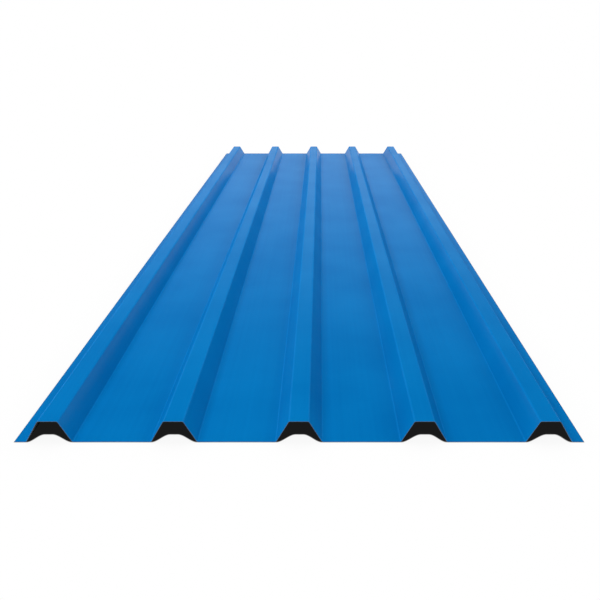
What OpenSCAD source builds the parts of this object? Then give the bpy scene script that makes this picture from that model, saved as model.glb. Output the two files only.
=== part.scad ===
// Trapezoidal-ribbed roofing sheet, roll-formed in one piece from a strip of pre-painted steel.
// The section lies in X and Z, and the ribs run the whole length along Y.
// The origin is below the middle of the sheet, level with the underside of the pans.

/* [Sheet] */
// Length of the sheet, along its ribs
sheet_length = 3000; // [1000:50:12000]
// Thickness of the coated steel
sheet_thickness = 0.7; // [0.4:0.05:1.2]

/* [Ribs] */
// Number of ribs across the sheet
rib_count = 5; // [2:1:8]
// Distance between the middles of neighbouring ribs
rib_pitch = 190; // [120:1:300]
// Height of the ribs, from the underside of the pans to the top of the crowns
rib_height = 35; // [15:0.5:60]
// Width of a crown between its two corners, at the middle of the thickness
crown_width = 30; // [15:0.5:55]
// Width of a rib between the corners at its foot, at the middle of the thickness
foot_width = 70; // [45:0.5:100]

/* [Bends] */
// Radius on the inside of the two bends beside a crown
crown_bend_radius = 3; // [1:0.25:8]
// Radius on the inside of the two bends at the foot of a rib
foot_bend_radius = 3; // [1:0.25:8]

/* [Edges] */
// Width of the flat lip outside the first rib
left_lip_width = 18; // [8:0.5:60]
// Width of the flat lip outside the last rib
right_lip_width = 18; // [8:0.5:60]

/* [Hidden] */
// Straight steps that draw each bend
bend_steps = 8;
half_thickness = sheet_thickness / 2;
pan_level = half_thickness;
crown_level = rib_height - half_thickness;
// Middle of the first and last rib, with the whole sheet centred on X = 0
ribs_span = (rib_count - 1) * rib_pitch;
first_rib_x = (left_lip_width - right_lip_width - ribs_span) / 2;
last_rib_x = first_rib_x + ribs_span;

// The four corners of one rib, from left to right, each as [position, inside bend radius]
function rib_corners(middle_x) = [
    [[middle_x - foot_width / 2, pan_level], foot_bend_radius],
    [[middle_x - crown_width / 2, crown_level], crown_bend_radius],
    [[middle_x + crown_width / 2, crown_level], crown_bend_radius],
    [[middle_x + foot_width / 2, pan_level], foot_bend_radius]
];

corners = [
    for (rib = [0 : rib_count - 1])
        each rib_corners(first_rib_x + rib * rib_pitch)
];
left_end = [first_rib_x - foot_width / 2 - left_lip_width, pan_level];
right_end = [last_rib_x + foot_width / 2 + right_lip_width, pan_level];
// The folded strip's middle line, with sharp corners
strip_line = [left_end, for (corner = corners) corner[0], right_end];

function unit(vector) = vector / norm(vector);
function left_of(vector) = [-vector.y, vector.x];
function turned(vector, angle) = [
    vector.x * cos(angle) - vector.y * sin(angle),
    vector.x * sin(angle) + vector.y * cos(angle)
];
function heading(vector) = atan2(vector.y, vector.x);

// One bend on the line that runs beside the middle line, at a distance counted to the left of it.
// The angle is positive where the strip turns to the left.
function bend(corner, before, after, inside_radius, beside) =
    let (
        arriving = unit(corner - before),
        angle = heading(after - corner) - heading(arriving),
        side = sign(angle),
        middle_radius = inside_radius + half_thickness,
        start = corner - arriving * middle_radius * tan(abs(angle) / 2),
        centre = start + side * middle_radius * left_of(arriving),
        spoke = -side * (middle_radius - side * beside) * left_of(arriving)
    )
    [for (step = [0 : bend_steps]) centre + turned(spoke, angle * step / bend_steps)];

// One face of the sheet, from the left edge to the right edge
function face_line(beside) = [
    left_end + [0, beside],
    for (i = [0 : len(corners) - 1])
        each bend(strip_line[i + 1], strip_line[i], strip_line[i + 2], corners[i][1], beside),
    right_end + [0, beside]
];

function reversed(list) = [for (i = [len(list) - 1 : -1 : 0]) list[i]];

module section() {
    polygon(concat(face_line(-half_thickness), reversed(face_line(half_thickness))));
}

module sheet() {
    color("#0A73BE")
        rotate([90, 0, 0])
            linear_extrude(height = sheet_length, center = true)
                section();
}

sheet();
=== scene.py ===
import math

import bmesh
import bpy
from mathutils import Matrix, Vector, noise


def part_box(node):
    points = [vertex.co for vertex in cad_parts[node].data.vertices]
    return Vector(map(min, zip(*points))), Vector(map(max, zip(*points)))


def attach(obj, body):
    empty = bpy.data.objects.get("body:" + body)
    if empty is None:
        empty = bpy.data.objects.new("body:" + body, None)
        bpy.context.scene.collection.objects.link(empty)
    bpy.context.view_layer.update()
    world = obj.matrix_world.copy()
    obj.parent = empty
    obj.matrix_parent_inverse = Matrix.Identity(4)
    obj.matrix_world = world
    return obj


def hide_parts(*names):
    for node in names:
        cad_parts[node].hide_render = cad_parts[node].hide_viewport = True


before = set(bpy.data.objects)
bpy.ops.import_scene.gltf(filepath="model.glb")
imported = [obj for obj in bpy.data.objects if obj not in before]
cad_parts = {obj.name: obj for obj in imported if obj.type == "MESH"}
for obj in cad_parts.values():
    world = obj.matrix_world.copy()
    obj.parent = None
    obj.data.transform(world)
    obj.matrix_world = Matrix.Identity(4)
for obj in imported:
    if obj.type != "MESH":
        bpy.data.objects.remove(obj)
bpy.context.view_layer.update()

# Ribbed sheet
# One strip of zinc-coated steel, painted on both sides in the coil and then roll-formed cold into ribs.
# Every bend runs the whole length, and the strip is sheared square at both ends after forming.
rib_count = 5
rib_pitch = 0.190
crown_width = 0.030
foot_width = 0.070
steel_thickness = 0.0007
inside_bend_radius = 0.003
bend_segments = 6
strip_low, strip_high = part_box("sheet")
strip_length = strip_high.y - strip_low.y
pan_level = strip_low.z + steel_thickness / 2
crown_level = strip_high.z - steel_thickness / 2
flank_run = (foot_width - crown_width) / 2
flank_angle = math.atan2(crown_level - pan_level, flank_run)
bend_radius = inside_bend_radius + steel_thickness / 2

# The strip's section, with sharp corners at the middle of the steel, is drawn out along the ribs.
rolled = bmesh.new()
bend_mark = rolled.verts.layers.float.new("bend")
corners = [rolled.verts.new((strip_low.x, strip_low.y, pan_level))]
for rib in range(rib_count):
    rib_middle = (rib - (rib_count - 1) / 2) * rib_pitch
    for beside, level in (
        (-foot_width / 2, pan_level),
        (-crown_width / 2, crown_level),
        (crown_width / 2, crown_level),
        (foot_width / 2, pan_level),
    ):
        corners.append(rolled.verts.new((rib_middle + beside, strip_low.y, level)))
corners.append(rolled.verts.new((strip_high.x, strip_low.y, pan_level)))
section = [rolled.edges.new(pair) for pair in zip(corners, corners[1:])]
drawn = bmesh.ops.extrude_edge_only(rolled, edges=section)["geom"]
far_end = [item for item in drawn if isinstance(item, bmesh.types.BMVert)]
bmesh.ops.translate(rolled, verts=far_end, vec=(0, strip_length, 0))

# The forming rolls leave an even radius along each bend line, where the film of paint is stretched.
bend_lines = [edge for edge in rolled.edges if len(edge.link_faces) == 2]
bends = bmesh.ops.bevel(
    rolled,
    geom=bend_lines,
    offset=bend_radius * math.tan(flank_angle / 2),
    offset_type="OFFSET",
    segments=bend_segments,
    profile=0.5,
    affect="EDGES",
    material=-1,
)
bend_faces = set(bends["faces"])
for vertex in bends["verts"]:
    vertex[bend_mark] = 1.0 if bend_faces.issuperset(vertex.link_faces) else 0.0

# Wide thin pans never stay dead flat: rolling leaves them bowed up by a few tenths of a millimetre,
# and the free edges of the two lips lift off the floor a little here and there.
pan_width = rib_pitch - foot_width
pan_cuts = 9
length_cuts = 99
pan_bow = 0.0004
bow_length = 0.42
lip_lift = 0.0005
lift_length = 0.30
# A lifted edge is also drawn in by a hair, so its lower corner stays within the strip's width.
lip_draw = 0.00001
# Each pan and each lip follows a line of its own through the noise.
noise_step = 3.7
bow_noise = 0.5
lift_noise = 2.5
# Points closer than this to a line or a level count as on it.
touch = 0.00001
across_pans = [edge for edge in rolled.edges if pan_width / 2 < edge.calc_length() < pan_width]
bmesh.ops.subdivide_edges(rolled, edges=across_pans, cuts=pan_cuts, use_grid_fill=True)
along_ribs = [edge for edge in rolled.edges if edge.calc_length() > strip_length / 2]
bmesh.ops.subdivide_edges(rolled, edges=along_ribs, cuts=length_cuts, use_grid_fill=True)
for vertex in rolled.verts:
    pan = math.floor(vertex.co.x / rib_pitch)
    from_pan_middle = vertex.co.x - (pan + 0.5) * rib_pitch
    if abs(vertex.co.x) > strip_high.x - touch:
        swell = max(0, noise.noise(Vector((pan * noise_step, vertex.co.y / lift_length, lift_noise))))
        vertex.co.z += lip_lift * swell
        vertex.co.x -= math.copysign(lip_draw, vertex.co.x)
    elif abs(from_pan_middle) < pan_width / 2 and vertex.co.z < pan_level + touch:
        looseness = math.cos(math.pi * from_pan_middle / pan_width) ** 2
        swell = 0.5 + 0.5 * noise.noise(Vector((pan * noise_step, vertex.co.y / bow_length, bow_noise)))
        vertex.co.z += pan_bow * looseness * swell

# The faces shade smoothly over the bends, and the side with the topcoat is turned up.
for face in rolled.faces:
    face.smooth = True
for edge in rolled.edges:
    edge.smooth = not edge.is_boundary
bmesh.ops.recalc_face_normals(rolled, faces=rolled.faces)
if max(rolled.faces, key=lambda face: face.calc_center_median().z).normal.z < 0:
    bmesh.ops.reverse_faces(rolled, faces=rolled.faces)
sheet_mesh = bpy.data.meshes.new("ribbed_sheet")
rolled.to_mesh(sheet_mesh)
rolled.free()
ribbed_sheet = bpy.data.objects.new("ribbed_sheet", sheet_mesh)
bpy.context.scene.collection.objects.link(ribbed_sheet)

# The steel's thickness, half of it on each side, with the coats and the cut edge in slots of their own.
steel = ribbed_sheet.modifiers.new("steel", "SOLIDIFY")
steel.thickness = steel_thickness
steel.offset = 0
steel.use_even_offset = True
steel.material_offset = 1
steel.material_offset_rim = 2
flat_faces = ribbed_sheet.modifiers.new("flat_faces", "WEIGHTED_NORMAL")
flat_faces.keep_sharp = True


def linear(hex_colour):
    """An sRGB hex colour as linear red, green, blue and an alpha of 1."""
    shades = [int(hex_colour[i:i + 2], 16) / 255 for i in (1, 3, 5)]
    return [s / 12.92 if s <= 0.04045 else ((s + 0.055) / 1.055) ** 2.4 for s in shades] + [1.0]


def add(tree, kind, sockets, **settings):
    """Adds a node. Each socket, by name or number, gets a value or the output that feeds it."""
    node = tree.nodes.new(kind)
    for name, value in settings.items():
        setattr(node, name, value)
    for socket, value in sockets.items():
        if isinstance(value, bpy.types.NodeSocket):
            tree.links.new(value, node.inputs[socket])
        else:
            node.inputs[socket].default_value = value
    return node


# Polyester coil coating, rolled on wet and baked: an even, saturated colour under a thin semi-gloss skin.
# Matting grains leave it little of a clear coat's mirror image, and least where it is seen from above.
# Its tones stand at the levels of the noise where the film counts as thick and as thin.
film_tones = ((0.35, "#006EB3"), (0.65, "#0276BB"))
# Paler blue for the painted highlight along the bends.
painted_bend_highlight_blue = "#0E7BC4"
streak_width = 0.006
streak_length = 0.9
streak_share = 0.25
cloud_size = 0.22
peel_size = 0.004
peel_depth = 0.00002
peel_strength = 0.2
least_shine = 0.30
most_shine = 0.37
bend_shine_share = 0.25
topcoat = bpy.data.materials.new("polyester_coil_coating")
topcoat.use_nodes = True
tree = topcoat.node_tree
tree.nodes.clear()
place = add(tree, "ShaderNodeTexCoord", {}).outputs["Object"]
# Streaks that the coating roller leaves along the strip, drawn some three times as wide as the real ones.
streak_scale = (1 / streak_width, 1 / streak_length, 1 / streak_width)
along_strip = add(tree, "ShaderNodeMapping", {"Vector": place, "Scale": streak_scale}).outputs[0]
streaks = add(tree, "ShaderNodeTexNoise", {
    "Vector": along_strip,
    "Scale": 1.0,
    "Detail": 3.0,
}).outputs[0]
# Slow changes in the film's thickness.
clouds = add(tree, "ShaderNodeTexNoise", {
    "Vector": place,
    "Scale": 1 / cloud_size,
    "Detail": 4.0,
}).outputs[0]
uneven = add(tree, "ShaderNodeMix", {0: streak_share, 2: clouds, 3: streaks}).outputs[0]
film = add(tree, "ShaderNodeValToRGB", {"Fac": uneven})
for stop, (level, tone) in zip(film.color_ramp.elements, film_tones):
    stop.position = level
    stop.color = linear(tone)
# On the bends the blue is painted a little paler, a painted highlight along each bend line where the film
# is drawn thin.
bend = add(tree, "ShaderNodeAttribute", {}, attribute_name="bend").outputs["Fac"]
painted_highlight_share = add(tree, "ShaderNodeMath", {0: bend, 1: uneven}, operation="MULTIPLY").outputs[0]
colour = add(tree, "ShaderNodeMix", {
    0: painted_highlight_share,
    6: film.outputs[0],
    7: linear(painted_bend_highlight_blue),
}, data_type="RGBA").outputs[2]
# The skin's shine drifts with its thickness and is dulled on the bends, and fine peel ripples it.
film_shine = add(tree, "ShaderNodeMapRange", {
    "Value": uneven,
    "From Min": 0.3,
    "From Max": 0.7,
    "To Min": least_shine,
    "To Max": most_shine,
}).outputs[0]
kept_shine = add(tree, "ShaderNodeMapRange", {
    "Value": bend,
    "To Min": 1.0,
    "To Max": bend_shine_share,
}).outputs[0]
shine = add(tree, "ShaderNodeMath", {0: film_shine, 1: kept_shine}, operation="MULTIPLY").outputs[0]
peel = add(tree, "ShaderNodeTexNoise", {
    "Vector": place,
    "Scale": 1 / peel_size,
    "Detail": 2.0,
}).outputs[0]
rippled = add(tree, "ShaderNodeBump", {
    "Height": peel,
    "Strength": peel_strength,
    "Distance": peel_depth,
}).outputs[0]
paint = add(tree, "ShaderNodeBsdfPrincipled", {
    "Base Color": colour,
    "Roughness": 0.5,
    "Specular IOR Level": 0.0,
    "Normal": rippled,
    "Coat Weight": shine,
    "Coat Roughness": 0.17,
    "Coat IOR": 1.15,
    "Coat Normal": rippled,
}).outputs[0]
add(tree, "ShaderNodeOutputMaterial", {"Surface": paint})

# Epoxy backing coat, a thin dark wash on the underside: matt, with the roller's streaks and pinholes.
wash_tones = ((0.35, "#2A2C2E"), (0.75, "#3C3D3C"))
pinhole_size = 0.003
pinhole_depth = 0.00002
pinhole_strength = 0.4
backing = bpy.data.materials.new("epoxy_backing_coat")
backing.use_nodes = True
tree = backing.node_tree
tree.nodes.clear()
place = add(tree, "ShaderNodeTexCoord", {}).outputs["Object"]
along_strip = add(tree, "ShaderNodeMapping", {"Vector": place, "Scale": streak_scale}).outputs[0]
streaks = add(tree, "ShaderNodeTexNoise", {
    "Vector": along_strip,
    "Scale": 1.0,
    "Detail": 4.0,
}).outputs[0]
# Pinholes in the wash, drawn several times their real size.
pinholes = add(tree, "ShaderNodeTexNoise", {
    "Vector": place,
    "Scale": 1 / pinhole_size,
    "Detail": 2.0,
}).outputs[0]
wash = add(tree, "ShaderNodeValToRGB", {"Fac": streaks})
for stop, (level, tone) in zip(wash.color_ramp.elements, wash_tones):
    stop.position = level
    stop.color = linear(tone)
dullness = add(tree, "ShaderNodeMapRange", {"Value": streaks, "To Min": 0.5, "To Max": 0.7}).outputs[0]
pitted = add(tree, "ShaderNodeBump", {
    "Height": pinholes,
    "Strength": pinhole_strength,
    "Distance": pinhole_depth,
}).outputs[0]
wash_coat = add(tree, "ShaderNodeBsdfPrincipled", {
    "Base Color": wash.outputs[0],
    "Roughness": dullness,
    "IOR": 1.5,
    "Normal": pitted,
}).outputs[0]
add(tree, "ShaderNodeOutputMaterial", {"Surface": wash_coat})

# Sheared zinc-coated steel: the bare cut edge, dull grey, with fine tear marks through the thickness.
tear_tones = ((0.35, "#3F4C5A"), (0.65, "#66788A"))
tear_spacing = 0.0012
cut_edge = bpy.data.materials.new("sheared_zinc_coated_steel")
cut_edge.use_nodes = True
tree = cut_edge.node_tree
tree.nodes.clear()
place = add(tree, "ShaderNodeTexCoord", {}).outputs["Object"]
# Tear marks, drawn several times as far apart as the real ones.
tears = add(tree, "ShaderNodeTexNoise", {
    "Vector": place,
    "Scale": 1 / tear_spacing,
    "Detail": 3.0,
}).outputs[0]
torn = add(tree, "ShaderNodeValToRGB", {"Fac": tears})
for stop, (level, tone) in zip(torn.color_ramp.elements, tear_tones):
    stop.position = level
    stop.color = linear(tone)
grain = add(tree, "ShaderNodeMapRange", {"Value": tears, "To Min": 0.35, "To Max": 0.6}).outputs[0]
bare_metal = add(tree, "ShaderNodeBsdfPrincipled", {
    "Base Color": torn.outputs[0],
    "Metallic": 1.0,
    "Roughness": grain,
}).outputs[0]
add(tree, "ShaderNodeOutputMaterial", {"Surface": bare_metal})

for finish in (topcoat, backing, cut_edge):
    sheet_mesh.materials.append(finish)
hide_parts("sheet")
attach(ribbed_sheet, "root")

# Studio floor
# A wide matt white floor that the sheet lies on. It shows as plain white with a faint painted shadow
# beside the sheet, and painted shade in the ribs' hollows, which painted light enters only a little way
# at each end.
floor_white = "#E6E6E6"
floor_size = 120.0
floor_gap = 0.0001
# How far the painted light enters a hollow, how wide its far end is, and how far from the sheet's end it
# spreads from.
painted_light_reach = 0.025
painted_light_width = 0.011
painted_light_distance = 1.1
# Width of the soft edge of that painted shade, and of the line of painted shade under the lips' edges.
painted_shade_edge = 0.003
painted_edge_shade = 0.001
# How far the shadow reaches beside the sheet.
shadow_reach = 0.10
# Brightness of the floor where a hollow's painted shade is deepest, and in that painted shadow.
painted_deep_shade = 0.011
shadow_depth = 0.94
floor_shape = bmesh.new()
bmesh.ops.create_grid(floor_shape, x_segments=1, y_segments=1, size=floor_size / 2)
bmesh.ops.translate(floor_shape, verts=floor_shape.verts, vec=(0, 0, strip_low.z - floor_gap))
floor_mesh = bpy.data.meshes.new("studio_floor")
floor_shape.to_mesh(floor_mesh)
floor_shape.free()
studio_floor = bpy.data.objects.new("studio_floor", floor_mesh)
bpy.context.scene.collection.objects.link(studio_floor)
white_floor = bpy.data.materials.new("white_studio_floor")
white_floor.use_nodes = True
tree = white_floor.node_tree
tree.nodes.clear()
ray = add(tree, "ShaderNodeLightPath", {}).outputs
place = add(tree, "ShaderNodeTexCoord", {}).outputs["Object"]
spot = add(tree, "ShaderNodeSeparateXYZ", {0: place}).outputs
# Painted shade: in the ribs' hollows the floor's white is drawn dark by this formula, not by a lamp's
# shadow.
from_middle = add(tree, "ShaderNodeMath", {0: spot["Y"]}, operation="ABSOLUTE").outputs[0]
depth = add(tree, "ShaderNodeMath", {0: strip_high.y, 1: from_middle}, operation="SUBTRACT").outputs[0]
# The painted light spreads from a point in front of the sheet's middle, so it falls into the outer
# hollows at a slant.
spread = add(tree, "ShaderNodeMath", {
    0: depth,
    1: 1 / painted_light_distance,
    2: 1.0,
}, operation="MULTIPLY_ADD").outputs[0]
at_end = add(tree, "ShaderNodeMath", {0: spot["X"], 1: spread}, operation="DIVIDE").outputs[0]
beside_rib = add(tree, "ShaderNodeMath", {0: at_end, 1: rib_pitch / 2}, operation="PINGPONG").outputs[0]
reach = add(tree, "ShaderNodeMapRange", {
    "Value": beside_rib,
    "From Min": foot_width / 2,
    "From Max": painted_light_width / 2,
    "To Max": painted_light_reach,
}, interpolation_type="SMOOTHSTEP").outputs[0]
short_of_painted_shade = add(tree, "ShaderNodeMath", {0: reach, 1: depth}, operation="SUBTRACT").outputs[0]
painted_lit_hollow = add(tree, "ShaderNodeMapRange", {
    "Value": short_of_painted_shade,
    "From Min": -painted_shade_edge / 2,
    "From Max": painted_shade_edge / 2,
    "To Min": painted_deep_shade,
}).outputs[0]
# Beside the sheet the floor is plain white up to a thin line of painted shade under the lips' edges.
across = add(tree, "ShaderNodeMath", {0: spot["X"]}, operation="ABSOLUTE").outputs[0]
unshaded_from = strip_high.x + painted_edge_shade
outside = add(tree, "ShaderNodeMath", {0: across, 1: unshaded_from}, operation="GREATER_THAN").outputs[0]
painted_lit = add(tree, "ShaderNodeMath", {0: painted_lit_hollow, 1: outside}, operation="MAXIMUM").outputs[0]
# A painted shadow: the floor's white dims where the sheet hides the open sky close by.
open_sky = add(tree, "ShaderNodeAmbientOcclusion", {"Distance": shadow_reach}, samples=16).outputs["AO"]
shadow = add(tree, "ShaderNodeMapRange", {
    "Value": open_sky,
    "From Min": 0.5,
    "To Min": shadow_depth,
}).outputs[0]
shown = add(tree, "ShaderNodeMath", {0: painted_lit, 1: shadow}, operation="MULTIPLY").outputs[0]
white = add(tree, "ShaderNodeEmission", {"Strength": shown}).outputs[0]
matt = add(tree, "ShaderNodeBsdfDiffuse", {"Color": linear(floor_white)}).outputs[0]
# The camera, mirror images and clear things see the white with its painted shade, and other rays the matt
# floor.
seen_or_mirrored = add(tree, "ShaderNodeMath", {
    0: ray["Is Camera Ray"],
    1: ray["Is Glossy Ray"],
}, operation="MAXIMUM").outputs[0]
seen = add(tree, "ShaderNodeMath", {
    0: seen_or_mirrored,
    1: ray["Is Transmission Ray"],
}, operation="MAXIMUM").outputs[0]
either = add(tree, "ShaderNodeMixShader", {0: seen, 1: matt, 2: white}).outputs[0]
add(tree, "ShaderNodeOutputMaterial", {"Surface": either})
floor_mesh.materials.append(white_floor)

# Studio surroundings
# A white sweep stands all round, bright at the floor, and a wide soft ceiling hangs over the sheet.
# Between the two the walls are dark, so the near half of the sheet mirrors next to nothing.
horizon_white = "#FFFFFF"
# Degrees above the floor, and the brightness there.
glow_by_elevation = (
    (5, 1.0),
    (10, 0.95),
    (12, 0.78),
    (14, 0.62),
    (16, 0.47),
    (19, 0.25),
    (23, 0.09),
    (27, 0.03),
    (38, 0.03),
    (58, 0.95),
)
studio = bpy.data.worlds.new("studio_surroundings")
bpy.context.scene.world = studio
studio.use_nodes = True
tree = studio.node_tree
tree.nodes.clear()
direction = add(tree, "ShaderNodeTexCoord", {}).outputs["Generated"]
height = add(tree, "ShaderNodeSeparateXYZ", {0: direction}).outputs["Z"]
glow = add(tree, "ShaderNodeValToRGB", {"Fac": height})
stops = glow.color_ramp.elements
stops.remove(stops[1])
stops[0].color = linear(horizon_white)
for elevation, brightness in glow_by_elevation:
    stop = stops.new(math.sin(math.radians(elevation)))
    stop.color = (brightness, brightness, brightness, 1)
sky = add(tree, "ShaderNodeBackground", {"Color": glow.outputs[0]}).outputs[0]
add(tree, "ShaderNodeOutputWorld", {"Surface": sky})

# Softboxes
# The main one hangs high on the left, so that the ribs shade the pans only close to their feet.
# A weak one low on the left lights the flanks on that side, and one behind on the right the others.
for name, stands_at, aimed_at, size, watts in (
    ("high_softbox", (-2.5, 0.4, 3.95), (0.0, 0.0, 0.0), 2.3, 132),
    ("low_softbox", (-4.0, 0.0, 1.5), (0.0, 0.0, 0.0), 2.0, 32),
    ("right_softbox", (3.6, 2.8, 2.5), (0.0, 1.0, 0.0), 2.0, 122),
):
    lamp = bpy.data.lights.new(name, "AREA")
    lamp.size = size
    lamp.energy = watts
    softbox = bpy.data.objects.new(name, lamp)
    softbox.location = stands_at
    aim = Vector(aimed_at) - Vector(stands_at)
    softbox.rotation_euler = aim.to_track_quat("-Z", "Y").to_euler()
    bpy.context.scene.collection.objects.link(softbox)

# Camera
# It stands in front of the near end, a little right of the middle, and looks down along the ribs.
# Its lens and shift are in pixels of the square picture, and its pitch is in radians.
image_side = 600
focal_pixels = 825.6
shift_pixels = -20.26
pitch = 0.32012
right_of_middle = 0.03226
before_near_end = 1.12373
eye_height = 0.60039
view_distance = 200
lens = bpy.data.cameras.new("camera")
lens.sensor_width = 36.0
lens.lens = focal_pixels * lens.sensor_width / image_side
lens.shift_x = shift_pixels / image_side
lens.clip_end = view_distance
camera = bpy.data.objects.new("camera", lens)
camera.location = (right_of_middle, strip_low.y - before_near_end, eye_height)
camera.rotation_euler = (math.pi / 2 - pitch, 0, 0)
bpy.context.scene.collection.objects.link(camera)
bpy.context.scene.camera = camera
bpy.context.scene.view_settings.view_transform = "Standard"
